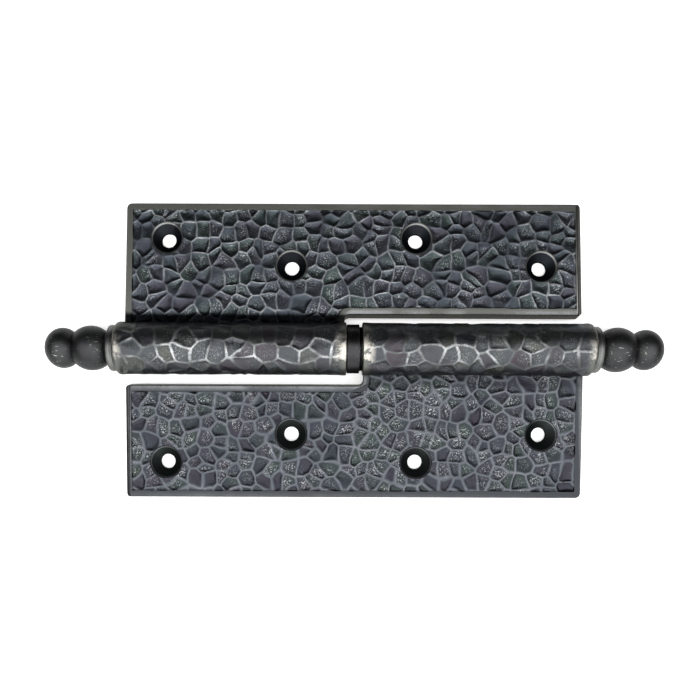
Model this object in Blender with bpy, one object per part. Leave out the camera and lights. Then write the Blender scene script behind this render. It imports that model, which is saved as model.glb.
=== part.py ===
"""Lift-off door hinge with ball tips, 140 mm long, lying open on its back.

The pin axis runs along +X at the knuckles' radius above z = 0.  The frame
leaf lies on the +Y side and carries the pin; the door leaf lies on the -Y
side and slides off the pin towards +X.  The knuckles and the outer edges of
both leaves rest on z = 0, so each leaf slopes down by a few degrees.
"""
import math

import bmesh
import bpy
from mathutils import Vector

MM = 0.001

# Leaves
LEAF_LENGTH = 140.0 * MM            # along the pin
LEAF_REACH = 45.4 * MM              # from the pin's axis to the outer edge
LEAF_THICKNESS = 4.0 * MM
LEAF_TILT = math.radians(3.0)       # slope of each leaf as the hinge lies
CORNER_RADIUS = 1.0 * MM
EDGE_BEVEL = 0.35 * MM
NOTCH_REACH = 11.0 * MM             # from the axis to the edge beside the other knuckle
NOTCH_FILLET = 1.5 * MM
NOTCH_STEP = 2.9 * MM               # from the hinge's middle to the notch's short edge
ROOT_REACH = 4.6 * MM               # where the plate ends inside its knuckle
RIM_WIDTH = 1.8 * MM                # flat border around the sunken field
FIELD_DEPTH = 0.5 * MM

# Screw holes, four in each leaf
HOLE_RADIUS = 2.25 * MM
HEAD_RADIUS = 4.6 * MM
HOLE_MARGIN = 12.5 * MM             # from the leaf's ends to the outer holes
HOLES_PER_LEAF = 4
HOLE_REACHES = (34.6 * MM, 26.0 * MM)   # far and near, by turns

# Knuckles, pin and rings
KNUCKLE_RADIUS = 8.0 * MM
KNUCKLE_INNER = 2.4 * MM            # from the hinge's middle to each knuckle
KNUCKLE_OUTER = 71.3 * MM
INNER_CHAMFER = 0.4 * MM
OUTER_CHAMFER = 0.6 * MM
PIN_RADIUS = 5.0 * MM
BORE_RADIUS = 5.1 * MM
PIN_IN_FRAME = 50.0 * MM            # length driven into the frame knuckle
PIN_IN_DOOR = 54.0 * MM             # length standing in the door knuckle
PIN_NOSE = 1.5 * MM
RING_RADIUS = 7.35 * MM
RING_LENGTH = 3.75 * MM
WASHER_RADIUS = 6.6 * MM
WASHER_LENGTH = 0.6 * MM
FACE_GAP = 0.15 * MM                # between faces that touch

# Ball tips, measured outwards from the knuckle's outer end
STUD_RADIUS = 4.9 * MM
STUD_LENGTH = 12.0 * MM
STUD_CHAMFER = 0.5 * MM
COLLAR_RADIUS = 6.95 * MM
COLLAR_END = 1.9 * MM
CONE_END = 3.0 * MM
NECK_RADIUS = 4.6 * MM
BALL_RADIUS = 6.75 * MM
BALL_CENTRE = 8.1 * MM
END_BALL_RADIUS = 6.1 * MM
END_BALL_CENTRE = 16.85 * MM
TIP_END = 22.15 * MM

# Facets
KNUCKLE_FACETS = 64
BORE_FACETS = 48
HOLE_FACETS = 32
CORNER_STEPS = 5
BALL_STEP = math.radians(12)

# The leaf's faces, as heights over the axis in the leaf's own frame
BACK_HEIGHT = -(KNUCKLE_RADIUS - LEAF_REACH * math.sin(LEAF_TILT)) / math.cos(LEAF_TILT)
FACE_HEIGHT = BACK_HEIGHT + LEAF_THICKNESS
FIELD_HEIGHT = FACE_HEIGHT - FIELD_DEPTH
CLEAR = 2.0 * MM                    # how far cutters stand past what they cut
MERGE = 0.0001 * MM                 # points closer than this are one


def clear_scene():
    """Removes every object that the scene starts with."""
    for thing in list(bpy.data.objects):
        bpy.data.objects.remove(thing, do_unlink=True)


def finish(name, colour, roughness, metallic=1.0):
    """Makes a plain metal material from a linear colour."""
    material = bpy.data.materials.new(name)
    material.use_nodes = True
    shader = material.node_tree.nodes["Principled BSDF"]
    shader.inputs["Base Color"].default_value = (*colour, 1.0)
    shader.inputs["Roughness"].default_value = roughness
    shader.inputs["Metallic"].default_value = metallic
    return material


def add_object(name, mesh, parent, material=None):
    """Links a new object; without a material it is a cutter or a guide."""
    thing = bpy.data.objects.new(name, mesh)
    bpy.context.collection.objects.link(thing)
    thing.parent = parent
    if material:
        mesh.materials.append(material)
    else:
        thing.hide_render = True
        thing.display_type = "WIRE"
    return thing


def add_empty(name, parent=None):
    """Adds an empty, which holds the pieces that move together."""
    empty = bpy.data.objects.new(name, None)
    bpy.context.collection.objects.link(empty)
    empty.parent = parent
    return empty


def mesh_from(form, name):
    """Turns a bmesh into a mesh with its faces pointing outwards, shaded smooth."""
    bmesh.ops.recalc_face_normals(form, faces=form.faces)
    mesh = bpy.data.meshes.new(name)
    form.to_mesh(mesh)
    form.free()
    mesh.shade_smooth()
    mesh.set_sharp_from_angle(angle=math.radians(32))
    return mesh


def spun(name, profile, facets, ring=False):
    """Spins a profile of (x, radius) points around the X axis.

    A solid's profile starts and ends on the axis; a ring's closes on itself.
    """
    form = bmesh.new()
    points = [form.verts.new((x, 0.0, radius)) for x, radius in profile]
    edges = [form.edges.new(pair) for pair in zip(points, points[1:])]
    if ring:
        edges.append(form.edges.new((points[-1], points[0])))
    bmesh.ops.spin(form, geom=points + edges, axis=(1, 0, 0), cent=(0, 0, 0),
                   angle=math.tau, steps=facets, use_merge=True)
    bmesh.ops.remove_doubles(form, verts=form.verts, dist=MERGE)
    return mesh_from(form, name)


def along_pin(name, profile, side, facets, ring=False):
    """Spins a profile that runs away from the hinge's middle, towards +X or -X."""
    return spun(name, [(side * x, radius) for x, radius in profile], facets, ring)


def bar_profile(start, end, radius, chamfer_start=0.0, chamfer_end=0.0):
    """Returns the profile of a solid round bar with chamfered ends."""
    return [(start, 0.0), (start, radius - chamfer_start), (start + chamfer_start, radius),
            (end - chamfer_end, radius), (end, radius - chamfer_end), (end, 0.0)]


def tube_profile(start, end, inner, outer, chamfer):
    """Returns the closed profile of a ring with chamfered outer edges."""
    return [(start, inner), (start, outer - chamfer), (start + chamfer, outer),
            (end - chamfer, outer), (end, outer - chamfer), (end, inner)]


def rounded(corners):
    """Rounds the corners (x, y, radius) of an outline with short arcs."""
    points = []
    for index, (x, y, radius) in enumerate(corners):
        here = Vector((x, y))
        before = Vector(corners[index - 1][:2])
        after = Vector(corners[(index + 1) % len(corners)][:2])
        if not radius:
            points.append(here)
            continue
        to_before = (before - here).normalized()
        to_after = (after - here).normalized()
        centre = here + radius * (to_before + to_after)
        for step in range(CORNER_STEPS + 1):
            angle = math.pi / 2 * step / CORNER_STEPS
            points.append(centre - radius * (math.sin(angle) * to_before
                                             + math.cos(angle) * to_after))
    return points


def slab(name, corners, side, low, high, bevel=0.0):
    """Extrudes a rounded outline; side -1 turns it half round about Z."""
    form = bmesh.new()
    floor = form.faces.new([form.verts.new((side * x, side * y, low))
                            for x, y in rounded(corners)])
    walls = bmesh.ops.extrude_face_region(form, geom=[floor])
    lifted = [part for part in walls["geom"] if isinstance(part, bmesh.types.BMVert)]
    bmesh.ops.translate(form, verts=lifted, vec=(0, 0, high - low))
    if bevel:
        level = [edge for edge in form.edges
                 if abs(edge.verts[0].co.z - edge.verts[1].co.z) < MERGE]
        bmesh.ops.bevel(form, geom=level, offset=bevel, segments=2, profile=0.5,
                        affect="EDGES")
    return mesh_from(form, name)


def plate_corners(inset=0.0, rounding=0.0, fillet=0.0):
    """Returns the frame leaf's outline, with the notch beside the door knuckle."""
    end = LEAF_LENGTH / 2 - inset
    outer = LEAF_REACH - inset
    notch = NOTCH_REACH + inset
    step = -NOTCH_STEP - inset
    return [(-end, ROOT_REACH, 0), (step, ROOT_REACH, 0), (step, notch, fillet),
            (end, notch, rounding), (end, outer, rounding), (-end, outer, rounding)]


def screw_holes(name, side):
    """Makes the four countersunk screw holes of one leaf as one cutting mesh."""
    drop = HEAD_RADIUS - HOLE_RADIUS
    profile = [(BACK_HEIGHT - CLEAR, 0), (BACK_HEIGHT - CLEAR, HOLE_RADIUS),
               (FIELD_HEIGHT - drop, HOLE_RADIUS), (FIELD_HEIGHT, HEAD_RADIUS),
               (FIELD_HEIGHT + CLEAR, HEAD_RADIUS), (FIELD_HEIGHT + CLEAR, 0)]
    form = bmesh.new()
    pitch = (LEAF_LENGTH - 2 * HOLE_MARGIN) / (HOLES_PER_LEAF - 1)
    for index in range(HOLES_PER_LEAF):
        x = index * pitch - LEAF_LENGTH / 2 + HOLE_MARGIN
        y = side * HOLE_REACHES[index % 2]
        points = [form.verts.new((x + radius, y, height)) for height, radius in profile]
        edges = [form.edges.new(pair) for pair in zip(points, points[1:])]
        bmesh.ops.spin(form, geom=points + edges, axis=(0, 0, 1), cent=(x, y, 0),
                       angle=math.tau, steps=HOLE_FACETS, use_merge=True)
    bmesh.ops.remove_doubles(form, verts=form.verts, dist=MERGE)
    return mesh_from(form, name)


def leaf(name, side, parent, material):
    """Makes one casting: plate, sunken field, knuckle, bore and screw holes.

    Side 1 is the frame leaf, with its knuckle towards -X; side -1 is the
    door leaf, with its knuckle towards +X.
    """
    slope = add_empty(name + "_slope", parent)
    slope.rotation_euler.x = -side * LEAF_TILT
    plate = slab(name, plate_corners(0.0, CORNER_RADIUS, NOTCH_FILLET), side,
                 BACK_HEIGHT, FACE_HEIGHT, EDGE_BEVEL)
    field = slab(name + "_field", plate_corners(RIM_WIDTH), side,
                 FIELD_HEIGHT, FACE_HEIGHT + CLEAR)
    knuckle = bar_profile(KNUCKLE_INNER, KNUCKLE_OUTER, KNUCKLE_RADIUS,
                          INNER_CHAMFER, OUTER_CHAMFER)
    bore = bar_profile(KNUCKLE_INNER - CLEAR, KNUCKLE_OUTER + CLEAR, BORE_RADIUS)
    thing = add_object(name, plate, slope, material)
    cuts = (("field_cutter", field, "DIFFERENCE"),
            ("knuckle", along_pin(name + "_knuckle", knuckle, -side, KNUCKLE_FACETS), "UNION"),
            ("bore_cutter", along_pin(name + "_bore", bore, -side, BORE_FACETS), "DIFFERENCE"),
            ("hole_cutter", screw_holes(name + "_holes", side), "DIFFERENCE"))
    for suffix, mesh, operation in cuts:
        modifier = thing.modifiers.new(suffix, "BOOLEAN")
        modifier.object = add_object(f"{name}_{suffix}", mesh, slope)
        modifier.operation = operation
        modifier.solver = "EXACT"


def arc(centre, length, radius, start, end):
    """Returns points of an elliptic arc; angles run from the outward axis."""
    steps = round((start - end) / BALL_STEP)
    angles = [start + (end - start) * step / steps for step in range(steps + 1)]
    return [(centre + length * math.cos(angle), radius * math.sin(angle)) for angle in angles]


def ball_tip(name, side, parent, material):
    """Makes a turned tip: stud, collar, cone, round ball and flattened end ball."""
    at_neck = math.asin(NECK_RADIUS / BALL_RADIUS)
    at_end_neck = math.asin(NECK_RADIUS / END_BALL_RADIUS)
    profile = [(-STUD_LENGTH, 0), (-STUD_LENGTH, STUD_RADIUS - STUD_CHAMFER),
               (-STUD_LENGTH + STUD_CHAMFER, STUD_RADIUS), (FACE_GAP, STUD_RADIUS),
               (FACE_GAP, COLLAR_RADIUS), (COLLAR_END, COLLAR_RADIUS), (CONE_END, NECK_RADIUS)]
    profile += arc(BALL_CENTRE, BALL_RADIUS, BALL_RADIUS, math.pi - at_neck, at_neck)
    profile += arc(END_BALL_CENTRE, TIP_END - END_BALL_CENTRE, END_BALL_RADIUS,
                   math.pi - at_end_neck, 0)[:-1] + [(TIP_END, 0)]
    outwards = [(KNUCKLE_OUTER + x, radius) for x, radius in profile]
    add_object(name, along_pin(name, outwards, -side, BORE_FACETS), parent, material)


def main():
    """Builds the hinge: frame half, ring and washer, door half."""
    clear_scene()
    hammered = finish("blackened_hammered_iron", (0.050, 0.053, 0.058), 0.45)
    turned = finish("blackened_turned_steel", (0.035, 0.034, 0.033), 0.38)
    bright = finish("bright_pin_steel", (0.42, 0.42, 0.41), 0.28)
    black = finish("black_bearing_steel", (0.014, 0.014, 0.016), 0.30)

    axis = add_empty("hinge_axis")
    axis.location.z = KNUCKLE_RADIUS
    swing = add_empty("swing_joint", axis)
    lift = add_empty("lift_joint", swing)

    leaf("frame_leaf", 1, axis, hammered)
    ball_tip("frame_ball_tip", 1, axis, turned)
    pin = bar_profile(-KNUCKLE_INNER - PIN_IN_FRAME, KNUCKLE_INNER + PIN_IN_DOOR,
                      PIN_RADIUS, PIN_NOSE / 2, PIN_NOSE)
    add_object("hinge_pin", spun("hinge_pin", pin, BORE_FACETS), axis, bright)

    ring_start = -KNUCKLE_INNER + FACE_GAP
    washer_start = ring_start + RING_LENGTH + FACE_GAP
    ring = tube_profile(ring_start, ring_start + RING_LENGTH,
                        BORE_RADIUS, RING_RADIUS, INNER_CHAMFER / 2)
    washer = tube_profile(washer_start, washer_start + WASHER_LENGTH,
                          BORE_RADIUS, WASHER_RADIUS, WASHER_LENGTH / 6)
    add_object("bearing_ring", spun("bearing_ring", ring, BORE_FACETS, True), swing, black)
    add_object("thrust_washer", spun("thrust_washer", washer, BORE_FACETS, True), swing, black)

    leaf("door_leaf", -1, lift, hammered)
    ball_tip("door_ball_tip", -1, lift, turned)


main()
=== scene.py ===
"""A lift-off butt hinge in blackened hammered iron, with ball tips, lying open on a pale floor.

The pin lies along X, the frame leaf is on the +Y side and the camera looks straight down.
Each half is modelled flat, with the pin's axis at the origin and the leaf along +Y, and is then
tilted and turned onto the frame.
"""

import logging
import math
from dataclasses import dataclass, replace
from enum import Enum
from functools import partial
from typing import Any, Callable, Iterable

import bpy
import numpy as np
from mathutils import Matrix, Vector


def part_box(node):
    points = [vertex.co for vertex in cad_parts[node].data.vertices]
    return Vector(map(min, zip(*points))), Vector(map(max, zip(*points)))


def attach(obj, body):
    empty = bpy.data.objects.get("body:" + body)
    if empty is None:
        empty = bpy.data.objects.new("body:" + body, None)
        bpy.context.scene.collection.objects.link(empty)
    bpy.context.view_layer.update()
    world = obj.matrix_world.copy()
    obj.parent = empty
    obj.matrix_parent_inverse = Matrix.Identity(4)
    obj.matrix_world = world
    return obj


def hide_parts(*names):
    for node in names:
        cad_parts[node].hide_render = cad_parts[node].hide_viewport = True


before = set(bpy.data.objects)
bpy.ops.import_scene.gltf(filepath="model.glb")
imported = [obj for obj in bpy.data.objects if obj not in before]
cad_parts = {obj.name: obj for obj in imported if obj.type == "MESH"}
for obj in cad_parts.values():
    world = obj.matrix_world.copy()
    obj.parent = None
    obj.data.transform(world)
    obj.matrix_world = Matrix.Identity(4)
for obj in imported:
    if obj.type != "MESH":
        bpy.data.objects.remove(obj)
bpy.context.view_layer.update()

log = logging.getLogger("hinge")

MM = 0.001
TIGHT = 0.01 * MM
PIN_HEIGHT = 8 * MM
BORE = 5.1 * MM
# how far a barrel is turned before it is unrolled, and where its top then lies
UNROLL_TURN = math.radians(27)
UNROLL_TOP = UNROLL_TURN - math.pi / 2
# how far from straight up, towards the lamp at -Y, a barrel's bare ridges are strongest: partly wear and partly
# painted highlight
RUB_AND_LIGHT_LEAN = math.radians(5)
# nearly all of a noise texture's values lie between these
NOISE_LOW, NOISE_HIGH = 0.3, 0.7
HALF = (0.5, 0.5, 0.5)

Point = tuple[float, float, float]
Profile = list[tuple[float, float]]
Piece = bpy.types.Object
Tree = bpy.types.NodeTree
Socket = bpy.types.NodeSocket
Kind = tuple[str, int | str, dict[str, str]]

# kinds of node: Blender's name, the output that is wanted, and the settings
SUMS = "MULTIPLY ADD SUBTRACT DIVIDE POWER MULTIPLY_ADD MAXIMUM MINIMUM ABSOLUTE ARCTAN2".split()
TIMES, PLUS, MINUS, OVER, POWER, TIMES_PLUS, LARGER, SMALLER, UNSIGNED, ANGLE = (
    ("ShaderNodeMath", 0, {"operation": name}) for name in SUMS
)
V_TIMES, V_PLUS, V_MINUS, V_SCALE = (
    ("ShaderNodeVectorMath", 0, {"operation": name}) for name in ("MULTIPLY", "ADD", "SUBTRACT", "SCALE")
)
V_DOT, V_DISTANCE = (
    ("ShaderNodeVectorMath", "Value", {"operation": name}) for name in ("DOT_PRODUCT", "DISTANCE")
)
# the inputs of a range: a value, its low and high, and what those become, 0 and 1 unless given
RANGE = ("ShaderNodeMapRange", 0, {})
EASE = ("ShaderNodeMapRange", 0, {"interpolation_type": "SMOOTHSTEP"})
MIX = ("ShaderNodeMix", 2, {"data_type": "RGBA"})
NOISE = ("ShaderNodeTexNoise", 0, {})
CELLS = ("ShaderNodeTexVoronoi", 0, {"voronoi_dimensions": "2D"})
PARTS = ("ShaderNodeSeparateXYZ", 0, {})


class Side(Enum):
    """The two halves of the hinge, by the CAD body that each rides on."""

    FRAME = "frame"
    DOOR = "door"

    @property
    def body(self) -> str:
        """The CAD body of this half."""
        return f"{self.value}_half"

    @property
    def turn(self) -> float:
        """How far the half is turned about the vertical, in radians."""
        return 0.0 if self is Side.FRAME else math.pi


class Slot(Enum):
    """The record's material slots."""

    IRON = "hammered_iron"
    TIP = "turned_tip"
    RING = "black_ring"
    PIN = "bright_steel"


# ---------------------------------------------------------------- small helpers


def linear(hex_colour: str) -> tuple[float, float, float, float]:
    """Turn an sRGB hex colour to linear light.

    Args:
        hex_colour: The colour as "#rrggbb".

    Returns:
        Red, green, blue and alpha.
    """
    parts = [int(hex_colour[i : i + 2], 16) / 255 for i in (1, 3, 5)]
    light = [c / 12.92 if c <= 0.04045 else ((c + 0.055) / 1.055) ** 2.4 for c in parts]
    return (light[0], light[1], light[2], 1.0)


def fill(node: bpy.types.Node, inputs: dict[int | str, Any] | list[Any]) -> None:
    """Give a node's inputs their values, or link them to other nodes' outputs."""
    for name, value in inputs.items() if isinstance(inputs, dict) else enumerate(inputs):
        if isinstance(value, Socket):
            node.id_data.links.new(value, node.inputs[name])
        else:
            node.inputs[name].default_value = value


def add_node(
    tree: Tree,
    kind: str | Kind,
    inputs: dict[int | str, Any] | list[Any] | None = None,
    out: int | str | None = None,
    **settings: Any,
) -> Any:
    """Add a node with its settings and links.

    Args:
        tree: The node tree to add to.
        kind: Blender's name for the kind of node, or one of the kinds above.
        inputs: A value or an output socket for each input, in order, or by name or number.
        out: The name or number of the wanted output, or "all"; the kind's own unless given.
        settings: Attributes of the node; "stops" is a colour ramp's list of (place, colour).

    Returns:
        The wanted output socket, or all of them.
    """
    node_type, own_out, own_settings = (kind, 0, {}) if isinstance(kind, str) else kind
    made = tree.nodes.new(node_type)
    stops = settings.pop("stops", None)
    for name, value in {**own_settings, **settings}.items():
        setattr(made, name, value)
    if stops:
        ramp = made.color_ramp
        while len(ramp.elements) < len(stops):
            ramp.elements.new(0.5)
        for element, (place, colour) in zip(ramp.elements, stops):
            element.position, element.color = place, colour
    fill(made, inputs or {})
    return made.outputs if out == "all" else made.outputs[own_out if out is None else out]


def new_material(name: str) -> tuple[bpy.types.Material, bpy.types.Node]:
    """Make a node material, and give it with its shader."""
    material = bpy.data.materials.new(name)
    material.use_nodes = True
    return material, material.node_tree.nodes["Principled BSDF"]


def smooth(low: float, high: float, value: np.ndarray) -> np.ndarray:
    """Rise smoothly from 0 at low to 1 at high.

    Args:
        low: Where the rise starts.
        high: Where it ends.
        value: The values to look up.

    Returns:
        The heights, from 0 to 1.
    """
    t = np.clip((value - low) / (high - low), 0, 1)
    return t * t * (3 - 2 * t)


def coordinates(piece: Piece) -> np.ndarray:
    """The x, y and z of every vertex, as three rows."""
    co = np.zeros(len(piece.data.vertices) * 3)
    piece.data.vertices.foreach_get("co", co)
    return co.reshape(-1, 3).T


def mark(piece: Piece, name: str, values: np.ndarray, domain: str = "POINT") -> None:
    """Store a value for each vertex, or for each corner of a face, under a name."""
    attribute = piece.data.attributes.new(name, "FLOAT", domain)
    attribute.data.foreach_set("value", values.astype(np.float32))


def set_mode(mode: str) -> None:
    """Change to "EDIT" or "OBJECT" mode."""
    bpy.ops.object.mode_set(mode=mode)


def deselect() -> None:
    """Leave nothing selected, and no mode but Object."""
    if bpy.context.object and bpy.context.object.mode != "OBJECT":
        set_mode("OBJECT")
    bpy.ops.object.select_all(action="DESELECT")


def activate(piece: Piece) -> None:
    """Select only this piece and make it the active one."""
    deselect()
    piece.select_set(True)
    bpy.context.view_layer.objects.active = piece


def apply_place(piece: Piece) -> None:
    """Put the piece's place, turn and scale into its mesh."""
    activate(piece)
    bpy.ops.object.transform_apply(location=True, rotation=True, scale=True)


def apply_modifier(piece: Piece, kind: str, **settings: Any) -> None:
    """Add one modifier and apply it.

    Args:
        piece: The piece to finish.
        kind: Blender's name for the modifier.
        settings: Attributes of the modifier.
    """
    activate(piece)
    modifier = piece.modifiers.new(kind.lower(), kind)
    for name, value in settings.items():
        setattr(modifier, name, value)
    bpy.ops.object.modifier_apply(modifier=modifier.name)


def pick(piece: Piece, test: Callable[[Vector], bool], what: str = "VERT") -> None:
    """Select, in edit mode, each vertex, edge or face whose every corner passes a test.

    Args:
        piece: The piece, in edit mode.
        test: Says if a corner belongs to the selection.
        what: "VERT", "EDGE" or "FACE".
    """
    set_mode("OBJECT")
    mesh = piece.data
    for part in (*mesh.vertices, *mesh.edges, *mesh.polygons):
        part.select = False
    good = [test(v.co) for v in mesh.vertices]
    for part in {"VERT": mesh.vertices, "EDGE": mesh.edges, "FACE": mesh.polygons}[what]:
        corners = [part.index] if what == "VERT" else part.vertices
        part.select = all(good[i] for i in corners)
    set_mode("EDIT")
    bpy.ops.mesh.select_mode(type=what)


def extrude(x: float, y: float, z: float) -> None:
    """Extrude the selection by a step."""
    bpy.ops.mesh.extrude_region_move(TRANSFORM_OT_translate={"value": (x, y, z)})


def face_outwards() -> None:
    """Turn every face of the piece in edit mode outwards, and go back to object mode."""
    bpy.ops.mesh.select_all(action="SELECT")
    bpy.ops.mesh.normals_make_consistent(inside=False)
    set_mode("OBJECT")


def shade(piece: Piece, degrees: float = 35.0) -> None:
    """Smooth the piece, apart from edges sharper than an angle in degrees."""
    activate(piece)
    bpy.ops.object.shade_smooth_by_angle(angle=math.radians(degrees))


def eased(x: float, radius: float, edge: float, steps: int = 3, far: bool = False) -> Profile:
    """Ease an edge of a turned profile with a quarter circle.

    Args:
        x: The end's place along the pin.
        radius: The full radius beside the edge.
        edge: How far the edge is eased.
        steps: How many flats make the quarter circle.
        far: If the profile comes down here to its far end, instead of rising from its near end.

    Returns:
        The quarter circle's points.
    """
    turns = [i * math.pi / 2 / steps for i in range(0 if far else 1, steps + 1)]
    if far:
        return [(x - edge * (1 - math.sin(a)), radius - edge + edge * math.cos(a)) for a in turns]
    return [(x + edge * (1 - math.cos(a)), radius - edge + edge * math.sin(a)) for a in turns]


def turned(name: str, profile: Profile, steps: int, height: float, turn: float = 0.0) -> Piece:
    """Turn a closed solid about the pin's axis.

    Args:
        name: The name of the piece.
        profile: Places along the pin and distances from it; one that starts and ends at distance
            0 is a solid, and one that ends where it starts is a ring.
        steps: How many flats go round.
        height: The pin's height over the floor.
        turn: How far the piece is turned about the vertical, in radians.

    Returns:
        The piece in its place, with its seam and its poles closed.
    """
    deselect()
    bpy.ops.mesh.primitive_plane_add(size=MM, location=(0, 0, 0))
    piece = bpy.context.object
    piece.name = piece.data.name = name
    set_mode("EDIT")
    bpy.ops.mesh.select_mode(type="VERT")
    bpy.ops.mesh.merge(type="CENTER")
    bpy.ops.transform.translate(value=(*profile[0], 0))
    for (x0, r0), (x1, r1) in zip(profile, profile[1:]):
        extrude(x1 - x0, r1 - r0, 0)
    bpy.ops.mesh.select_all(action="SELECT")
    bpy.ops.mesh.spin(steps=steps, angle=math.tau, center=(0, 0, 0), axis=(1, 0, 0))
    bpy.ops.mesh.select_all(action="SELECT")
    bpy.ops.mesh.remove_doubles(threshold=0.002 * MM)
    face_outwards()
    piece.rotation_euler = (0, 0, turn)
    piece.location = (0, 0, height)
    apply_place(piece)
    shade(piece, 30)
    return piece


def cut(piece: Piece, tool: Piece, operation: str) -> None:
    """Cut a piece with a tool, and throw the tool away.

    Args:
        piece: The piece to cut.
        tool: A closed solid.
        operation: "DIFFERENCE" or "INTERSECT".
    """
    apply_modifier(piece, "BOOLEAN", operation=operation, solver="MANIFOLD", object=tool)
    bpy.data.objects.remove(tool, do_unlink=True)


def finish_piece(
    piece: Piece, body: str, nodes: Iterable[str], material: bpy.types.Material
) -> None:
    """Dress a piece and tie it to the frame.

    Args:
        piece: The finished piece, with its place in its mesh.
        body: The CAD body that it rides on.
        nodes: The CAD nodes that it stands for.
        material: Its finish.
    """
    piece.data.materials.clear()
    piece.data.materials.append(material)
    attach(piece, body)
    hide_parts(*nodes)
    co = coordinates(piece) / MM
    triangles = sum(len(p.vertices) - 2 for p in piece.data.polygons)
    log.info("%s: %d triangles, %s to %s mm", piece.name, triangles, co.min(1).round(2), co.max(1).round(2))


# ---------------------------------------------------------------- finishes


@dataclass(frozen=True)
class HammerBlows:
    """Hammer blows, side by side, that leave shallow pans with flat-topped ridges between them.

    The same sums place the blows in the mesh and in the finish, so the worn ridges in the
    finish lie on the real ones.
    """

    spacing: float
    depth: float
    ridge: float
    wall: float
    dish: float
    tilt: float
    wander: float = 0.9 * MM
    wander_pitch: float = 2.2
    evenness: float = 0.8
    steepness: float = 2.2
    extra_depth: float = 0.6
    least_depth: float = 0.3
    seed: tuple[float, float] = (0.0, 0.0)

    def fields(self, tree: Tree, spot: Socket) -> dict[str, Socket]:
        """Add the nodes that say how a spot lies to the blows.

        Args:
            tree: A material's node tree or a geometry node group.
            spot: The place on the sheet, in metres along X and Y.

        Returns:
            "ridge", the distance to the nearest ridge's middle in metres; "width", half the
            width of the ridge's flat top there; "depth", how deep the spot lies under the
            ridges in metres; "centre", the distance from the pan's middle in metres; and
            "tone", a random colour for each blow.
        """
        add = partial(add_node, tree)
        moved = add(V_PLUS, [spot, (*self.seed, 0)])
        noise_scale = 1 / (self.wander_pitch * self.spacing)
        noise = add(NOISE, {"Vector": moved, "Scale": noise_scale, "Detail": 1.0}, "all", noise_dimensions="2D")
        centred = add(V_MINUS, [noise["Color"], HALF])
        scaled = add(V_SCALE, {0: centred, "Scale": 4 * self.wander})
        warped = add(V_PLUS, [moved, scaled])
        common = {"Vector": warped, "Scale": 1 / self.spacing, "Randomness": self.evenness}
        near = add(CELLS, common, "all", feature="F1")
        edge = add(CELLS, common, "Distance", feature="DISTANCE_TO_EDGE")
        ridge = add(TIMES, [edge, self.spacing])
        width = add(RANGE, [noise["Fac"], NOISE_LOW, NOISE_HIGH, 0.5 * self.ridge, 1.5 * self.ridge])
        foot = add(PLUS, [width, self.wall])
        level = add(RANGE, [ridge, width, foot, 1.0, 0.0])
        level = add(POWER, [level, self.steepness])
        sunk = add(MINUS, [1.0, level])
        # a floor that is dished, and leans its own way by its own depth
        tone = near["Color"]
        parts = add(PARTS, [tone], "all")
        off = add(V_MINUS, [warped, near["Position"]])
        way = add(V_MINUS, [tone, HALF])
        lean = add(V_DOT, [off, way])
        floor = add(TIMES_PLUS, [lean, 2 * self.tilt, self.depth])
        floor = add(TIMES_PLUS, [parts[2], self.extra_depth * self.depth, floor])
        square = add(TIMES, [near["Distance"], near["Distance"]])
        floor = add(TIMES_PLUS, [square, -4 * self.dish, floor])
        floor = add(LARGER, [floor, self.least_depth * self.depth])
        depth = add(TIMES, [floor, sunk])
        centre = add(TIMES, [near["Distance"], self.spacing])
        return {"ridge": ridge, "width": width, "depth": depth, "centre": centre, "tone": tone}


@dataclass(frozen=True)
class Skin:
    """What the layers of the hammered finish read: the half's sizes, and some sockets.

    On the socket "struck", the rim is 0 and the hammered field 1; "grain" is fine noise and
    "cloud" large, soft noise; and "flat" is the place on the flat half.
    """

    tree: Tree
    half: "HingeHalf"
    flat: Socket
    struck: Socket
    grain: Socket
    cloud: Socket


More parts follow.
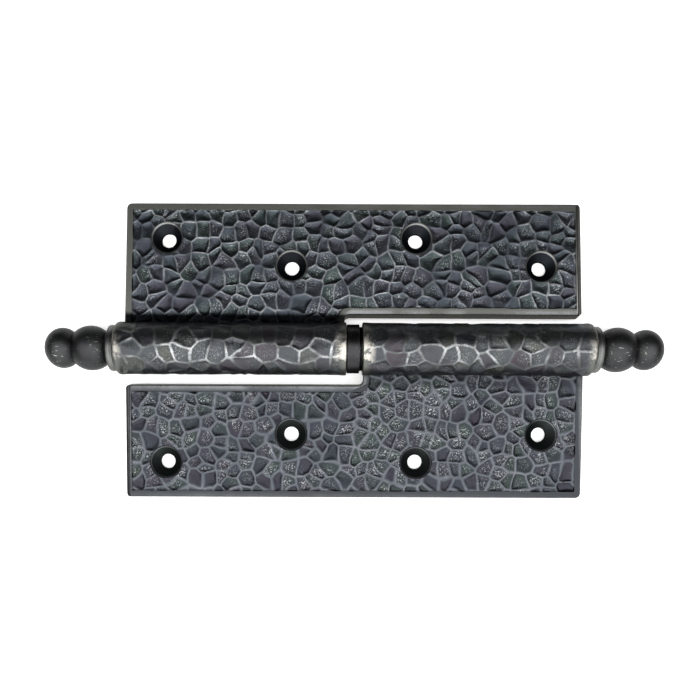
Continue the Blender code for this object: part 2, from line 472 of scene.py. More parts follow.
@dataclass(frozen=True)
class HammeredIron:
    """Wrought iron, hammered, blackened in oil and rubbed back, so that its ridges are bare.

    Dark, half-glossy iron, with a grainy scale in the pans and smoother, greyer ridges.
    """

    name: str
    blows: HammerBlows
    slate: str = "#33373d"
    olive: str = "#313938"
    plum: str = "#36353c"
    plain: str = "#595a56"
    crest: str = "#41454b"
    machined: str = "#25282c"
    bare: str = "#a3a5a6"
    # bare patches at the barrel's ends, partly wear and partly painted sheen
    warm_bare_and_sheen: str = "#bcb7af"
    # the colour of the painted shade at the foot of the rim
    groove_shade: str = "#0b0c0d"
    # the colour of the painted shadow beside the barrel
    shadow_black: str = "#030304"
    edge_tint: str = "#808080"
    wall_tint: str = "#f0f0ea"
    roughness: float = 0.4
    plain_roughness: float = 0.42
    # how dark the painted shadow beside the barrel is, and from where it starts to where it is full
    painted_shadow: float = 0.97
    painted_shadow_start: float = 12.0 * MM
    painted_shadow_full: float = 10.4 * MM
    wear: float = 0.5
    edge_wear: float = 0.8
    brim_wear: float = 0.6
    inner_end_wear: float = 0.75
    outer_end_wear: float = 0.4
    rub: float = 0.3 * MM
    # the width of the band on a barrel where the ridges are rubbed bare and painted as lit
    rubbed_and_lit_arc: float = math.radians(31)
    grain: float = 0.38 * MM
    grain_depth: float = 0.1 * MM
    crest_grain: float = 0.3
    least_grain: float = 0.12
    cloud: float = 9 * MM
    patch: float = 1.6 * MM
    end_patch: float = 2.0 * MM
    speckle: float = 0.6

    def build(self, half: "HingeHalf", radius: float | None) -> bpy.types.Material:
        """Make the material for one piece.

        Args:
            half: The half that the piece belongs to.
            radius: The barrel's radius, where the blows go round the pin, or None on a leaf.

        Returns:
            The material.
        """
        material, shader = new_material(self.name)
        tree = material.node_tree
        add = partial(add_node, tree)
        place = add("ShaderNodeTexCoord", None, "Object")
        stance = {"Location": (0, 0, half.axis_height), "Rotation": (-half.tilt, 0, half.side.turn)}
        flat = add("ShaderNodeMapping", {"Vector": place, **stance}, vector_type="TEXTURE")
        spot = flat if radius is None else unroll(tree, flat, radius)
        found = self.blows.fields(tree, spot)
        struck = add("ShaderNodeAttribute", None, "Fac", attribute_name="struck")
        grain = add(NOISE, {"Vector": place, "Scale": 1 / self.grain, "Detail": 2.0, "Roughness": 0.6})
        cloud = add(NOISE, {"Vector": place, "Scale": 1 / self.cloud, "Detail": 3.0})
        skin = Skin(tree, half, flat, struck, grain, cloud)
        # 1 on a ridge's flat top, 0 on a pan's floor
        ridge, width = found["ridge"], found["width"]
        outer = add(PLUS, [width, 0.3 * self.blows.wall])
        crest = add(EASE, [ridge, outer, width])
        # the middle of the ridge, where it is rubbed thin, with a ragged outline
        ragged = add(TIMES_PLUS, [grain, -1.6 * self.rub, 0.8 * self.rub])
        ragged = add(PLUS, [ridge, ragged])
        fine = add(EASE, [ragged, self.rub, 0.3 * self.rub])
        # each blow has its own faint colour
        hue = add("ShaderNodeSeparateColor", [found["tone"]], "all")
        mixed = add(TIMES_PLUS, [hue[0], 0.5, cloud])
        stops = [(0.4, linear(self.plum)), (0.75, linear(self.slate)), (1.0, linear(self.olive))]
        pan = add("ShaderNodeValToRGB", [mixed], stops=stops)
        ground = add(MIX, {0: crest, 6: pan, 7: linear(self.crest)})
        ground = add(MIX, {0: struck, 6: linear(self.plain), 7: ground})
        # bare metal: broken lines along the ridges, and flecks of grain in the pans
        rubbed = add(RANGE, [cloud, 0.4, 0.58, 0.05, self.wear])
        patchy = add(NOISE, {"Vector": place, "Scale": 1 / self.patch, "Detail": 3.0, "Roughness": 0.65})
        patchy = add(RANGE, [patchy, 0.32, 0.6, 0.25])
        rubbed = add(TIMES, [rubbed, patchy])
        # on a barrel the bare ridges are kept to the band the lamp lights: partly wear, partly painted
        # highlight
        if radius is not None:
            top = self.rubbed_and_lit_top(skin, spot, radius)
            rubbed = add(TIMES, [rubbed, top])
        line = add(TIMES, [fine, rubbed])
        dots = add(RANGE, [grain, 0.54, 0.64, 0.0, self.speckle])
        some = add(TIMES_PLUS, [hue[2], 0.45, cloud])
        some = add(RANGE, [some, 0.52, 0.95])
        spacing = self.blows.spacing
        middle = add(EASE, [found["centre"], 0.62 * spacing, 0.2 * spacing])
        dots = add(TIMES, [dots, some])
        dots = add(TIMES, [dots, middle])
        worn = add(LARGER, [line, dots])
        worn = add(TIMES, [worn, struck])
        colour = add(MIX, {0: worn, 6: ground, 7: linear(self.bare)})
        lumps = add(RANGE, [crest, 0.0, 1.0, 1.0, self.crest_grain])
        lumps = add(TIMES, [lumps, struck])
        lumps = add(LARGER, [lumps, self.least_grain])
        if radius is None:
            front = self.front_side(skin)
            # paints shade along the foot of the rim
            colour = self.add_groove_shade(skin, colour)
            colour = self.add_worn_edge(skin, colour)
            # paints the barrel's shadow onto the leaf beside it
            colour = self.add_painted_shadow(skin, front, colour)
            colour = self.add_holes(skin, front, colour)
        else:
            colour = self.add_ends(skin, top, colour)
        rough = add(RANGE, [struck, 0.0, 1.0, self.plain_roughness, self.roughness])
        bump = add("ShaderNodeBump", {"Height": grain, "Strength": lumps, "Distance": self.grain_depth})
        # a wall is seen at a glancing angle, where it still shines
        wall = add("ShaderNodeAttribute", None, "Fac", attribute_name="wall")
        tint = add(MIX, {0: wall, 6: linear(self.edge_tint), 7: linear(self.wall_tint)})
        fill(shader, {"Metallic": 1.0, "Specular Tint": tint, "Base Color": colour, "Roughness": rough})
        fill(shader, {"Normal": bump})
        return material

    def rubbed_and_lit_top(self, skin: Skin, spot: Socket, radius: float) -> Socket:
        """Say how much a barrel is rubbed: most on top and a little towards -Y, where the lamp lights it, so
        the bare ridges are partly wear and partly a painted highlight.

        Args:
            skin: What the layers read.
            spot: The place on the unrolled barrel.
            radius: The barrel's radius.

        Returns:
            A value from 0 to 1.
        """
        add = partial(add_node, skin.tree)
        round_it = add(PARTS, [spot], 1)
        middle = UNROLL_TOP + (RUB_AND_LIGHT_LEAN if skin.half.side is Side.FRAME else -RUB_AND_LIGHT_LEAN)
        off = add(MINUS, [round_it, radius * middle])
        off = add(UNSIGNED, [off])
        arc = radius * self.rubbed_and_lit_arc
        return add(EASE, [off, 1.5 * arc, 0.6 * arc])

    def front_side(self, skin: Skin) -> Socket:
        """Say 0 on the leaf's plain back and 1 everywhere else."""
        up = add_node(skin.tree, PARTS, [skin.flat], 2)
        back = skin.half.back
        return add_node(skin.tree, RANGE, [up, back + 0.1 * MM, back + 0.3 * MM])

    def add_groove_shade(self, skin: Skin, colour: Socket) -> Socket:
        """Paint shade along the foot of the rim, where it drops to the field."""
        add = partial(add_node, skin.tree)
        foot = add(MINUS, [skin.struck, 0.55])
        foot = add(UNSIGNED, [foot])
        foot = add(RANGE, [foot, 0.45, 0.1, 0.0, 0.75])
        return add(MIX, {0: foot, 6: colour, 7: linear(self.groove_shade)})

    def add_worn_edge(self, skin: Skin, colour: Socket) -> Socket:
        """Rub the leaf's outer edge bare, in a broken line."""
        add = partial(add_node, skin.tree)
        edge = add("ShaderNodeAttribute", None, "Fac", attribute_name="worn")
        broken = add(TIMES_PLUS, [skin.grain, 0.6, skin.cloud])
        broken = add(RANGE, [broken, 0.65, 1.0, 0.1, self.edge_wear])
        edge = add(TIMES, [edge, broken])
        return add(MIX, {0: edge, 6: colour, 7: linear(self.bare)})

    def add_painted_shadow(self, skin: Skin, front: Socket, colour: Socket) -> Socket:
        """Paint a shadow over the front's corner with the barrel, where the barrel's shadow falls across the
        leaf.
        """
        add = partial(add_node, skin.tree)
        out = add(PARTS, [skin.flat], 1)
        shadowed = add(EASE, [out, self.painted_shadow_start, self.painted_shadow_full, 0.0, self.painted_shadow])
        shadowed = add(TIMES, [shadowed, front])
        return add(MIX, {0: shadowed, 6: colour, 7: linear(self.shadow_black)})

    def add_holes(self, skin: Skin, front: Socket, colour: Socket) -> Socket:
        """Darken the countersinks, and rub their brims bare.

        Args:
            skin: What the layers read.
            front: 0 on the leaf's back and 1 elsewhere.
            colour: The colour so far.

        Returns:
            The new colour.
        """
        add = partial(add_node, skin.tree)
        head = skin.half.head
        level = add(V_TIMES, [skin.flat, (1, 1, 0)])
        nearest = None
        for x, y in skin.half.holes:
            away = add(V_DISTANCE, [level, (x, y, 0)])
            if nearest is not None:
                away = add(SMALLER, [nearest, away])
            nearest = away
        inside = add(RANGE, [nearest, head - 0.05 * MM, head - 0.25 * MM])
        inside = add(TIMES, [inside, front])
        away = add(MINUS, [nearest, head + 0.05 * MM])
        away = add(UNSIGNED, [away])
        brim = add(RANGE, [away, 0.22 * MM, 0.08 * MM, 0.0, self.brim_wear])
        brim = add(TIMES, [brim, front])
        colour = add(MIX, {0: brim, 6: colour, 7: linear(self.bare)})
        return add(MIX, {0: inside, 6: colour, 7: linear(self.machined)})

    def add_ends(self, skin: Skin, top: Socket, colour: Socket) -> Socket:
        """Rub the barrel bare in patches at its inner end, and a little at its outer end; the patches gather on
        the lit top, so they are partly wear and partly a painted sheen.

        Args:
            skin: What the layers read.
            top: How much the barrel is rubbed and painted as lit here, from 0 to 1.
            colour: The colour so far.

        Returns:
            The new colour.
        """
        add = partial(add_node, skin.tree)
        along = add(PARTS, [skin.flat])
        end = skin.half.barrel_inner
        inner = add(RANGE, [along, end - 4 * MM, end - 1.5 * MM, 0.0, self.inner_end_wear])
        end = skin.half.barrel_outer
        outer = add(RANGE, [along, end + 3.2 * MM, end + 1.5 * MM, 0.0, self.outer_end_wear])
        both = add(LARGER, [inner, outer])
        patches = {"Vector": skin.flat, "Scale": 1 / self.end_patch, "Detail": 4.0, "Roughness": 0.75}
        # the patches favour the lit top: partly painted sheen
        mottle = add(TIMES_PLUS, [top, 0.3, add(NOISE, patches)])
        mottle = add(TIMES_PLUS, [skin.grain, 0.3, mottle])
        patch = add(RANGE, [mottle, 0.87, 0.98])
        both = add(TIMES, [both, patch])
        return add(MIX, {0: both, 6: colour, 7: linear(self.warm_bare_and_sheen)})


@dataclass(frozen=True)
class TurnedSteel:
    """Mild steel, turned in a lathe and oil-blackened: smooth, satin and almost black."""

    name: str
    dark: str = "#2f2f31"
    light: str = "#3b3c3c"
    bare: str = "#b9b4ad"
    rubbed: str = "#6a6b69"
    edge_tint: str = "#dcdcdc"
    roughness: float = 0.44
    nicks: float = 0.6
    scratches: float = 0.6
    cloud: float = 6 * MM
    nick: float = 0.6 * MM
    # real scratches and turning lines are finer than these: drawn coarser, to be seen
    scratch: float = 0.35 * MM
    turning: float = 0.7 * MM

    def build(self, collar: float | None = None) -> bpy.types.Material:
        """Make the material.

        Args:
            collar: How far from the middle of the hinge a tip's collar ends, or None.

        Returns:
            The material.
        """
        material, shader = new_material(self.name)
        add = partial(add_node, material.node_tree)
        place = add("ShaderNodeTexCoord", None, "Object")
        cloud = add(NOISE, {"Vector": place, "Scale": 1 / self.cloud, "Detail": 3.0})
        shaded = add(
            "ShaderNodeValToRGB", [cloud], stops=[(0.35, linear(self.dark)), (0.7, linear(self.light))]
        )
        fine = add(NOISE, {"Vector": place, "Scale": 1 / self.nick, "Detail": 2.0})
        nicks = add(RANGE, [fine, 0.72, 0.8, 0.0, self.nicks])
        colour = add(MIX, {0: nicks, 6: shaded, 7: linear(self.bare)})
        if collar is not None:
            colour = self.wear_tip(material.node_tree, place, cloud, collar, colour)
        rough = add(RANGE, [cloud, NOISE_LOW, NOISE_HIGH, self.roughness - 0.04, self.roughness + 0.05])
        fill(shader, {"Metallic": 1.0, "Specular Tint": linear(self.edge_tint)})
        fill(shader, {"Base Color": colour, "Roughness": rough})
        return material

    def wear_tip(self, tree: Tree, place: Socket, cloud: Socket, collar: float, colour: Socket) -> Socket:
        """Scratch a tip in short lines along the pin, and rub its collar to grey with lines round it.

        Args:
            tree: The material's node tree.
            place: The place on the piece.
            cloud: Large, soft noise.
            collar: How far from the middle of the hinge the collar ends.
            colour: The colour so far.

        Returns:
            The new colour.
        """
        add = partial(add_node, tree)
        long = add(V_TIMES, [place, (0.14, 1, 1)])
        fine = add(NOISE, {"Vector": long, "Scale": 1 / self.scratch, "Detail": 1.0})
        fine = add(TIMES_PLUS, [cloud, 0.35, fine])
        marks = add(RANGE, [fine, 0.88, 0.96, 0.0, self.scratches])
        colour = add(MIX, {0: marks, 6: colour, 7: linear(self.bare)})
        along = add(PARTS, [place])
        along = add(UNSIGNED, [along])
        lines = add(NOISE, {"W": along, "Scale": 1 / self.turning, "Detail": 2.0}, "Fac", noise_dimensions="1D")
        lines = add(TIMES_PLUS, [lines, 0.8, cloud])
        lines = add(RANGE, [lines, 0.7, 1.05, 0.2])
        near = add(RANGE, [along, collar + 0.1 * MM, collar - 0.15 * MM])
        near = add(TIMES, [near, lines])
        return add(MIX, {0: near, 6: colour, 7: linear(self.rubbed)})


@dataclass(frozen=True)
class LightTable:
    """A white light table: matt, even and lit a little from below, so that no shadow is dark."""

    name: str = "white_light_table"
    colour: str = "#f4f4f3"
    roughness: float = 0.9
    gloss: float = 0.2
    glow: float = 0.35

    def build(self) -> bpy.types.Material:
        """Make the material."""
        material, shader = new_material(self.name)
        fill(shader, {"Base Color": linear(self.colour), "Roughness": self.roughness})
        fill(shader, {"Specular IOR Level": self.gloss})
        fill(shader, {"Emission Color": (1, 1, 1, 1), "Emission Strength": self.glow})
        return material


def unroll(tree: Tree, flat: Socket, radius: float) -> Socket:
    """Add the nodes that unroll a barrel, so that blows run round it.

    The seam lies where the leaf joins the barrel, so it doesn't show.

    Args:
        tree: The tree to add to.
        flat: The place, with the pin along X through the origin and the leaf along +Y.
        radius: The barrel's radius.

    Returns:
        The place along the pin and round it, in metres.
    """
    add = partial(add_node, tree)
    level = add("ShaderNodeVectorRotate", {"Vector": flat, "Angle": UNROLL_TURN}, rotation_type="X_AXIS")
    away = add(V_TIMES, [level, (1, -1, -1)])
    parts = add(PARTS, [away], "all")
    angle = add(ANGLE, [parts[2], parts[1]])
    round_it = add(TIMES, [angle, radius])
    return add("ShaderNodeCombineXYZ", [parts[0], round_it])


# ---------------------------------------------------------------- the object


@dataclass
class HingeHalf:
    """One leaf with its barrel, hammered on the side that shows."""

    side: Side
    iron: HammeredIron
    barrel_iron: HammeredIron
    far_first: bool = True
    axis_height: float = PIN_HEIGHT
    tilt: float = math.radians(3)
    length: float = 140 * MM
    reach: float = 45.4 * MM
    face: float = -1.6317 * MM
    back: float = -5.6317 * MM
    root: float = 5.1 * MM
    notch_reach: float = 11 * MM
    notch_end: float = -2.9 * MM
    notch_fillet: float = 1.5 * MM
    notch_draft: float = 0.5 * MM
    corner: float = 1.6 * MM
    edge: float = 0.35 * MM
    rim: float = 1.8 * MM
    rim_slope: float = 0.45 * MM
    field_depth: float = 0.5 * MM
    hole: float = 2.25 * MM
    head: float = 4.6 * MM
    hole_margin: float = 12.5 * MM
    hole_reaches: tuple[float, float] = (34.6 * MM, 26.0 * MM)
    barrel_radius: float = 7.985 * MM
    bore: float = BORE
    barrel_inner: float = -2.4 * MM
    barrel_outer: float = -71.3 * MM
    inner_chamfer: float = 0.4 * MM
    outer_chamfer: float = 1.1 * MM
    pitch: float = 0.3 * MM
    ridge_drop: float = 0.12 * MM

    @property
    def holes(self) -> list[tuple[float, float]]:
        """The middle of each screw hole, along the pin and away from it."""
        span = self.length - 2 * self.hole_margin
        reaches = [self.hole_reaches[(i + (not self.far_first)) % 2] for i in range(4)]
        return [(-span / 2 + span * i / 3, reach) for i, reach in enumerate(reaches)]

    def finish(self, piece: Piece, iron: HammeredIron, radius: float | None) -> None:
        """Tilt and turn a flat piece onto the frame, and dress it; radius is a barrel's, or None."""
        piece.rotation_euler = (-self.tilt, 0, self.side.turn)
        piece.location = (0, 0, self.axis_height)
        apply_place(piece)
        shade(piece)
        if radius is None:
            # large flat faces keep their own normal beside the eased edges
            apply_modifier(piece, "WEIGHTED_NORMAL", keep_sharp=True)
        finish_piece(piece, self.side.body, [f"{self.side.value}_leaf"], iron.build(self, radius))

    def hammer(self, piece: Piece, strength: np.ndarray, calm: np.ndarray, radius: float | None) -> None:
        """Sink the hammer blows into a piece's skin.

        Args:
            piece: The flat piece.
            strength: For each vertex, 0 where it keeps its place and 1 where it takes the blows.
            calm: For each vertex, how much of the blows' depth it takes.
            radius: The barrel's radius, or None on a leaf.
        """
        mark(piece, "struck", strength)
        mark(piece, "calm", calm)
        iron = self.iron if radius is None else self.barrel_iron
        group = bpy.data.node_groups.new("hammering", "GeometryNodeTree")
        group.is_modifier = True
        for way in ("INPUT", "OUTPUT"):
            group.interface.new_socket("Geometry", in_out=way, socket_type="NodeSocketGeometry")
        add = partial(add_node, group)
        start = add("NodeGroupInput")
        place = add("GeometryNodeInputPosition")
        struck = add("GeometryNodeInputNamedAttribute", {"Name": "struck"})
        calmed = add("GeometryNodeInputNamedAttribute", {"Name": "calm"})
        spot = place if radius is None else unroll(group, place, radius)
        depth = iron.blows.fields(group, spot)["depth"]
        depth = add(TIMES, [depth, calmed])
        depth = add(PLUS, [depth, self.ridge_drop])
        depth = add(TIMES, [depth, struck])
        depth = add(TIMES, [depth, -1.0])
        if radius is None:
            move = add("ShaderNodeCombineXYZ", {2: depth})
        else:
            part = add(OVER, [depth, radius])
            inward = add(V_TIMES, [place, (0, 1, 1)])
            move = add(V_SCALE, {0: inward, "Scale": part})
        moved = add("GeometryNodeSetPosition", {"Geometry": start, "Offset": move})
        add("NodeGroupOutput", [moved], "all")
        apply_modifier(piece, "NODES", node_group=group)
        bpy.data.node_groups.remove(group)

    def outline(self) -> Piece:
        """Model the leaf's outline as a solid: a bar with a step, round corners and eased edges."""
        deselect()
        depth = self.reach - self.notch_reach
        middle = (0, self.notch_reach + depth / 2, (self.face + self.back) / 2)
        bpy.ops.mesh.primitive_cube_add(size=1, location=middle)
        bar = bpy.context.object
        bar.scale = (self.length, depth, self.face - self.back)
        apply_place(bar)
        set_mode("EDIT")
        bpy.ops.mesh.select_all(action="SELECT")
        bpy.ops.mesh.bisect(plane_co=(self.notch_end, 0, 0), plane_no=(1, 0, 0))
        near, split = self.notch_reach + TIGHT, self.notch_end + TIGHT
        pick(bar, lambda v: v.y < near and v.x < split, "FACE")
        extrude(0, self.root + 0.1 * MM - self.notch_reach, 0)
        loose = self.notch_draft + TIGHT
        start = self.notch_end - TIGHT
        pick(bar, lambda v: v.x > start and abs(v.y - self.notch_reach) < TIGHT and v.z < self.back + TIGHT)
        bpy.ops.transform.translate(value=(0, -self.notch_draft, 0))
        corners = [(s * self.length / 2, self.reach) for s in (-1, 1)] + [(self.length / 2, self.notch_reach)]
        pick(bar, lambda v: any(abs(v.x - x) < TIGHT and abs(v.y - y) < loose for x, y in corners), "EDGE")
        bpy.ops.mesh.bevel(offset=self.corner, segments=8, affect="EDGES")
        pick(bar, lambda v: abs(v.x - self.notch_end) < TIGHT and abs(v.y - self.notch_reach) < loose, "EDGE")
        bpy.ops.mesh.bevel(offset=self.notch_fillet, segments=8, affect="EDGES")
        for level in (self.face, self.back):
            pick(bar, lambda v: abs(v.z - level) < TIGHT, "FACE")
            bpy.ops.mesh.dissolve_faces()
            bpy.ops.mesh.region_to_loop()
            bpy.ops.mesh.bevel(offset=self.edge, segments=3, affect="EDGES")
        set_mode("OBJECT")
        return bar

    def countersink(self, x: float, y: float) -> Piece:
        """Model the cutter of one screw hole: a drill with a 90 degree countersink."""
        deselect()
        seat = self.face - self.field_depth - (self.head - self.hole)
        low = self.back - 1 * MM
        bpy.ops.mesh.primitive_cylinder_add(
            vertices=96, radius=self.hole, depth=seat - low, location=(x, y, (seat + low) / 2)
        )
        drill = bpy.context.object
        apply_place(drill)
        set_mode("EDIT")
        pick(drill, lambda v: v.z > seat - TIGHT, "FACE")
        rise = self.head - self.hole + self.field_depth + 0.5 * MM
        extrude(0, 0, rise)
        grow = (self.hole + rise) / self.hole
        bpy.ops.transform.resize(value=(grow, grow, 1), center_override=(x, y, seat + rise))
        set_mode("OBJECT")
        return drill

    def inset(self, x: np.ndarray, y: np.ndarray) -> np.ndarray:
        """How far inside the leaf's outline some places lie.

        Args:
            x: The places along the pin.
            y: The places away from the pin.

        Returns:
            The distances, which are negative outside the outline.
        """
        step = np.hypot(
            np.maximum(self.notch_end - x + self.notch_fillet, 0),
            np.maximum(y - self.notch_reach + self.notch_fillet, 0),
        )
        return np.minimum.reduce([self.length / 2 - abs(x), self.reach - y, step - self.notch_fillet])

    def wear_edge(self, leaf: Piece) -> None:
        """Mark the leaf's eased outer edge, which is rubbed bare, and its walls, which are not."""
        x, y, z = coordinates(leaf)
        away = self.inset(x, y)
        sunk = self.face - z
        inner = y < self.notch_reach + 1 * MM
        worn = (away < self.edge + 0.03 * MM) & (sunk < self.edge - 0.05 * MM) & (y > self.root + 0.5 * MM)
        mark(leaf, "worn", worn * np.where(inner, 1.0, 0.3))
        wall = (away < 0.1 * MM) & (sunk > self.edge - 0.05 * MM)
        # a corner of the flat back isn't wall, though it shares its point with one
        corners = [wall[i] and face.normal.z > -0.5 for face in leaf.data.polygons for i in face.vertices]
        mark(leaf, "wall", np.array(corners), "CORNER")

    def build_leaf(self) -> None:
        """Model the leaf: a hammered skin, closed to a flat back, cut to the outline and drilled."""
        deselect()
        across = round((self.reach + 0.65 * MM - self.root) / self.pitch)
        along = 2 * math.ceil((self.length / 2 + 0.5 * MM) / self.pitch)
        middle = (0, self.root + across * self.pitch / 2, self.face + 0.05 * MM)
        bpy.ops.mesh.primitive_grid_add(x_subdivisions=along, y_subdivisions=across, size=1, location=middle)
        leaf = bpy.context.object
        leaf.name = leaf.data.name = f"{self.side.value}_leaf_plate"
        leaf.scale = (along * self.pitch, across * self.pitch, 1)
        apply_place(leaf)
        x, y, _ = coordinates(leaf)
        strength = smooth(self.rim, self.rim + self.rim_slope, self.inset(x, y))
        calm = np.ones_like(x)
        near, far = self.head + 0.1 * MM, self.head + 2.0 * MM
        for hx, hy in self.holes:
            calm *= 0.35 + 0.65 * smooth(near, far, np.hypot(x - hx, y - hy))
        self.hammer(leaf, strength, calm, None)
        activate(leaf)
        set_mode("EDIT")
        bpy.ops.mesh.select_mode(type="EDGE")
        bpy.ops.mesh.select_all(action="DESELECT")
        bpy.ops.mesh.select_non_manifold()
        extrude(0, 0, -4 * MM)
        bpy.ops.transform.resize(value=(1, 1, 0), center_override=(0, 0, self.back - 0.3 * MM))
        bpy.ops.mesh.edge_face_add()
        face_outwards()
        cut(leaf, self.outline(), "INTERSECT")
        for hx, hy in self.holes:
            cut(leaf, self.countersink(hx, hy), "DIFFERENCE")
        self.wear_edge(leaf)
        self.finish(leaf, self.iron, None)

    def build_barrel(self) -> None:
        """Model the barrel: a bored tube, chamfered at its ends and hammered all round."""
        deselect()
        left, right = self.barrel_outer + self.outer_chamfer, self.barrel_inner - self.inner_chamfer
        bpy.ops.mesh.primitive_cylinder_add(
            vertices=168,
            radius=self.barrel_radius,
            depth=right - left,
            end_fill_type="NOTHING",
            location=((left + right) / 2, 0, 0),
            rotation=(0, math.pi / 2, 0),
        )
        barrel = bpy.context.object
        barrel.name = barrel.data.name = f"{self.side.value}_leaf_barrel"
        apply_place(barrel)
        set_mode("EDIT")
        for cuts in (14, 15):
            self.select_lengthwise(barrel)
            bpy.ops.mesh.subdivide(number_cuts=cuts)
        for end, chamfer, way in ((left, self.outer_chamfer, -1), (right, self.inner_chamfer, 1)):
            pick(barrel, lambda v: abs(v.x - end) < TIGHT, "EDGE")
            radius, place = self.barrel_radius, end
            for turn in (1, 2, 3):
                angle = turn * math.pi / 6
                goal_radius = self.barrel_radius - chamfer * (1 - math.cos(angle))
                goal_place = end + way * chamfer * math.sin(angle)
                self.step_loop(goal_place - place, goal_radius / radius)
                radius, place = goal_radius, goal_place
            self.step_loop(0, self.bore / radius)
        pick(barrel, lambda v: math.hypot(v.y, v.z) < self.bore + TIGHT, "EDGE")
        bpy.ops.mesh.bridge_edge_loops()
        face_outwards()
        x, y, z = coordinates(barrel)
        outer = (np.hypot(y, z) > self.barrel_radius - 0.02 * MM).astype(float)
        ends = np.minimum(x - self.barrel_outer, self.barrel_inner - x)
        self.hammer(barrel, outer * smooth(0.7 * MM, 3.2 * MM, ends), np.ones_like(x), self.barrel_radius)
        self.finish(barrel, self.barrel_iron, self.barrel_radius)

    def select_lengthwise(self, barrel: Piece) -> None:
        """Select, in edit mode, the edges that run along the pin."""
        bpy.ops.mesh.select_mode(type="EDGE")
        bpy.ops.mesh.select_all(action="DESELECT")
        set_mode("OBJECT")
        mesh = barrel.data
        for edge in mesh.edges:
            a, b = (mesh.vertices[i].co for i in edge.vertices)
            edge.select = abs(a.x - b.x) > TIGHT
        set_mode("EDIT")

    def step_loop(self, along: float, grow: float) -> None:
        """Extrude the selected loop along the pin by a length, and scale it about the pin."""
        extrude(along, 0, 0)
        bpy.ops.transform.resize(value=(1, grow, grow), center_override=(0, 0, 0))

    def build(self) -> None:
        """Build and dress the half."""
        self.build_leaf()
        self.build_barrel()


@dataclass
class BallTip:
    """A turned tip: a collar, a neck, a big ball and an end ball."""

    side: Side
    steel: TurnedSteel
    axis_height: float = PIN_HEIGHT
    start: float = 71.3 * MM
    clear: float = 0.02 * MM
    collar: float = 6.95 * MM
    collar_edge: float = 0.25 * MM
    collar_end: float = 1.9 * MM
    cone_end: float = 3.0 * MM
    neck: float = 4.6 * MM
    ball: float = 6.75 * MM
    ball_centre: float = 7.95 * MM
    end_ball: float = 6.1 * MM
    end_centre: float = 16.5 * MM
    end_half: float = 5.3 * MM
    stud: float = 4.9 * MM
    stud_length: float = 12 * MM
    stud_edge: float = 0.5 * MM

    def profile(self) -> Profile:
        """The outline, from the stud inside the barrel to the end."""
        stud_end = -self.stud_length
        points: Profile = [(stud_end, 0), (stud_end, self.stud - self.stud_edge)]
        points += [(stud_end + self.stud_edge, self.stud), (self.clear, self.stud)]
        points += [(self.clear, self.collar - self.collar_edge)]
        points += eased(self.clear, self.collar, self.collar_edge)
        points += [(self.collar_end - 0.2 * MM, self.collar), (self.collar_end, self.collar - 0.08 * MM)]
        start = math.asin(self.neck / self.ball)
        reach = self.ball_centre - self.ball * math.cos(start)
        points += [(self.cone_end, self.neck + 0.1 * MM), (min(self.cone_end + 0.1 * MM, reach), self.neck)]
        cross = self.crossing()
        stop = math.pi - math.asin(min(1.0, cross[1] / self.ball))
        for i in range(41):
            a = start + (stop - start) * i / 40
            points.append((self.ball_centre - self.ball * math.cos(a), self.ball * math.sin(a)))
        begin = math.acos(max(-1.0, min(1.0, (self.end_centre - cross[0]) / self.end_half)))
        for i in range(1, 37):
            a = begin + (math.pi - begin) * i / 36
            radius = self.end_ball * math.sin(a) if i < 36 else 0.0
            points.append((self.end_centre - self.end_half * math.cos(a), radius))
        return points

    def crossing(self) -> tuple[float, float]:
        """Where the two balls meet: the place along the tip and the distance from its axis."""
        low, high = self.ball_centre, self.end_centre
        for _ in range(60):
            x = (low + high) / 2
            first = self.ball**2 - (x - self.ball_centre) ** 2
            second = self.end_ball**2 * (1 - ((x - self.end_centre) / self.end_half) ** 2)
            if first > second:
                low = x
            else:
                high = x
        return x, math.sqrt(max(self.ball**2 - (x - self.ball_centre) ** 2, 0))

    def build(self) -> None:
        """Build and dress the tip."""
        side = self.side.value
        profile = [(self.start + x, r) for x, r in self.profile()]
        tip = turned(f"{side}_tip", profile, 96, self.axis_height, math.pi - self.side.turn)
        steel = self.steel.build(self.start + self.collar_end)
        finish_piece(tip, self.side.body, [f"{side}_ball_tip"], steel)


@dataclass
class RingSet:
    """The bearing ring between the barrels, and the thin washer beside it."""

    steel: TurnedSteel
    washer_steel: TurnedSteel
    axis_height: float = PIN_HEIGHT
    bore: float = BORE

    def ring(self, name: str, node: str, edge: float, steel: TurnedSteel) -> None:
        """Turn one ring with eased edges to the size of its CAD node.

        Args:
            name: The name of the piece.
            node: The CAD node that it stands for.
            edge: How far the edges are eased.
            steel: Its finish.
        """
        low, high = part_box(node)
        left, right, outer = low.x, high.x, (high.y - low.y) / 2
        profile: Profile = [(left, self.bore + edge), (left, outer - edge), *eased(left, outer, edge)]
        profile += eased(right, outer, edge, far=True)
        profile += [(right, self.bore + edge), (right - edge, self.bore), (left + edge, self.bore)]
        piece = turned(name, [*profile, profile[0]], 128, self.axis_height)
        finish_piece(piece, "ring_set", [node], steel.build())

    def build(self) -> None:
        """Build and dress both rings."""
        self.ring("ring", "bearing_ring", 0.2 * MM, self.steel)
        self.ring("washer", "thrust_washer", 0.1 * MM, self.washer_steel)


@dataclass
class HingePin:
    """The ground pin, fixed in the frame half's barrel."""

    steel: TurnedSteel
    axis_height: float = PIN_HEIGHT
    nose: float = 1.5 * MM
    chamfer: float = 0.8 * MM

    def build(self) -> None:
        """Build and dress the pin: a bar with a chamfered foot and a rounded nose."""
        low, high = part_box("hinge_pin")
        left, right, radius = low.x, high.x, (high.y - low.y) / 2
        profile: Profile = [(left, 0), (left, radius - self.chamfer), (left + self.chamfer, radius)]
        profile += [*eased(right, radius, self.nose, 6, far=True), (right, 0)]
        pin = turned("pin", profile, 96, self.axis_height)
        finish_piece(pin, "frame_half", ["hinge_pin"], self.steel.build())


# ---------------------------------------------------------------- the studio


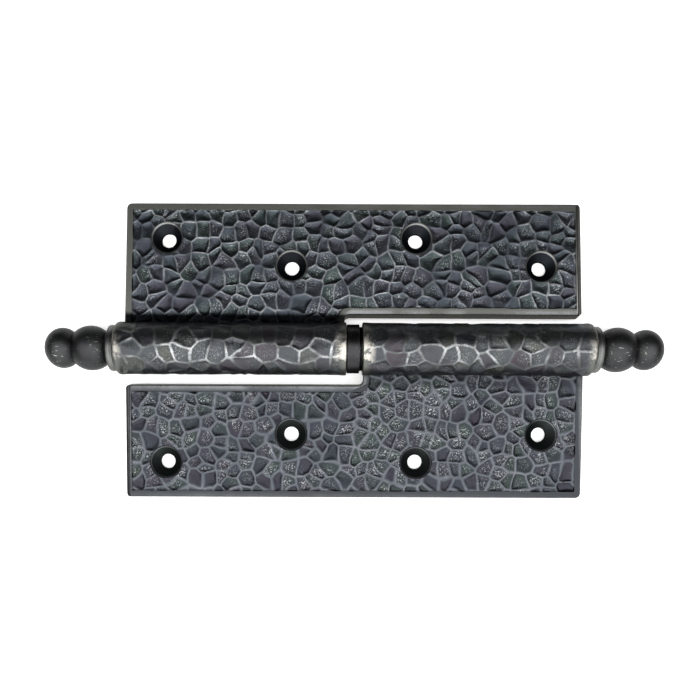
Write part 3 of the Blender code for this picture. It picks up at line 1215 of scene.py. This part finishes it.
@dataclass
class Studio:
    """The floor, the lights and the camera."""

    floor: LightTable
    camera_place: Point = (-7.5 * MM, -25.7 * MM, 219.6 * MM)
    shift: tuple[float, float] = (0.03, 0.12)
    roll: float = math.radians(0.22)
    lens: float = 36
    sensor: float = 36
    room: Point = (0.9, 0.95, 1.0)
    room_light: float = 0.03

    def lay_floor(self) -> None:
        """Lay the light table."""
        deselect()
        bpy.ops.mesh.primitive_plane_add(size=4)
        floor = bpy.context.object
        floor.name = "floor"
        floor.data.materials.append(self.floor.build())

    def light(self, name: str, place: Point, aim: Point, size: tuple[float, float], power: float) -> None:
        """Hang a soft box.

        Args:
            name: The name of the light.
            place: Where it hangs.
            aim: What it points at.
            size: Its width and height.
            power: Its power in watts.
        """
        deselect()
        bpy.ops.object.light_add(type="AREA", location=place)
        lamp = bpy.context.object
        lamp.name = name
        lamp.data.shape = "RECTANGLE"
        lamp.data.size, lamp.data.size_y = size
        lamp.data.energy = power
        lamp.rotation_euler = (Vector(aim) - Vector(place)).to_track_quat("-Z", "Y").to_euler()

    def build(self) -> None:
        """Lay the floor, hang the lights and set the camera."""
        scene = bpy.context.scene
        self.lay_floor()
        self.light("overhead", (0, -0.38, 0.8), (0, -0.2, 0), (2.2, 1.3), 32)
        self.light("front", (0.0, -1.2, 0.32), (0, 0, 0), (2.0, 0.6), 10)
        scene.world = bpy.data.worlds.new("pale_room")
        scene.world.use_nodes = True
        background = scene.world.node_tree.nodes["Background"]
        fill(background, {"Color": (*self.room, 1.0), "Strength": self.room_light})
        deselect()
        bpy.ops.object.camera_add(location=self.camera_place)
        camera = bpy.context.object
        camera.rotation_euler = (0, 0, self.roll)
        camera.data.sensor_width, camera.data.lens = self.sensor, self.lens
        camera.data.shift_x, camera.data.shift_y = self.shift
        scene.camera = camera
        scene.view_settings.view_transform = "Standard"


def main() -> None:
    """Build the hinge and its studio."""
    logging.basicConfig(level=logging.INFO, format="%(name)s: %(message)s")
    leaf_blows = HammerBlows(
        4.35 * MM, 0.31 * MM, ridge=0.12 * MM, wall=1.75 * MM, dish=0.05 * MM, tilt=0.12, seed=(0.31, 0.17)
    )
    door_blows = replace(
        leaf_blows, spacing=4.25 * MM, seed=(0.73, 0.59), ridge=0.24 * MM, depth=0.28 * MM, wall=1.4 * MM
    )
    barrel_blows = HammerBlows(
        5.2 * MM, 0.2 * MM, ridge=0.1 * MM, wall=1.6 * MM, dish=0.05 * MM, tilt=0.13, seed=(0.11, 0.43)
    )
    door_barrel_blows = replace(barrel_blows, seed=(0.57, 0.83))
    leaf_iron = HammeredIron("blackened_hammered_iron_frame_leaf", leaf_blows, wear=0.6)
    door_iron = replace(
        leaf_iron,
        name="blackened_hammered_iron_door_leaf",
        blows=door_blows,
        slate="#2a2d32",
        olive="#2a302f",
        plum="#2e2c32",
        plain="#313336",
        crest="#3d4045",
        machined="#303534",
        # a weaker painted shadow beside the door leaf's barrel
        painted_shadow=0.3,
        wear=0.15,
        edge_wear=0.4,
        brim_wear=0.35,
        speckle=0.68,
    )
    barrel_iron = HammeredIron(
        "blackened_hammered_iron_frame_barrel",
        barrel_blows,
        slate="#3c3f42",
        plum="#3c393d",
        olive="#40423f",
        crest="#424444",
        wear=0.9,
        speckle=0.35,
        rub=0.55 * MM,
        edge_tint="#c8c8c8",
    )
    door_barrel_iron = replace(
        barrel_iron, name="blackened_hammered_iron_door_barrel", blows=door_barrel_blows, wear=0.75
    )
    HingeHalf(Side.FRAME, leaf_iron, barrel_iron, far_first=True).build()
    HingeHalf(Side.DOOR, door_iron, door_barrel_iron, far_first=False).build()
    for side in Side:
        BallTip(side, TurnedSteel(f"blackened_turned_steel_{side.value}")).build()
    ring_steel = TurnedSteel(
        "blackened_bearing_steel", dark="#2b2b2c", light="#363637", roughness=0.36, edge_tint="#909090"
    )
    washer_steel = replace(ring_steel, name="blackened_washer_steel", dark="#0e0e0f", light="#161617")
    RingSet(ring_steel, washer_steel).build()
    HingePin(TurnedSteel("ground_pin_steel", dark="#a8a8a6", light="#c0c0be", roughness=0.25)).build()
    Studio(LightTable()).build()


if __name__ == "__main__":
    main()
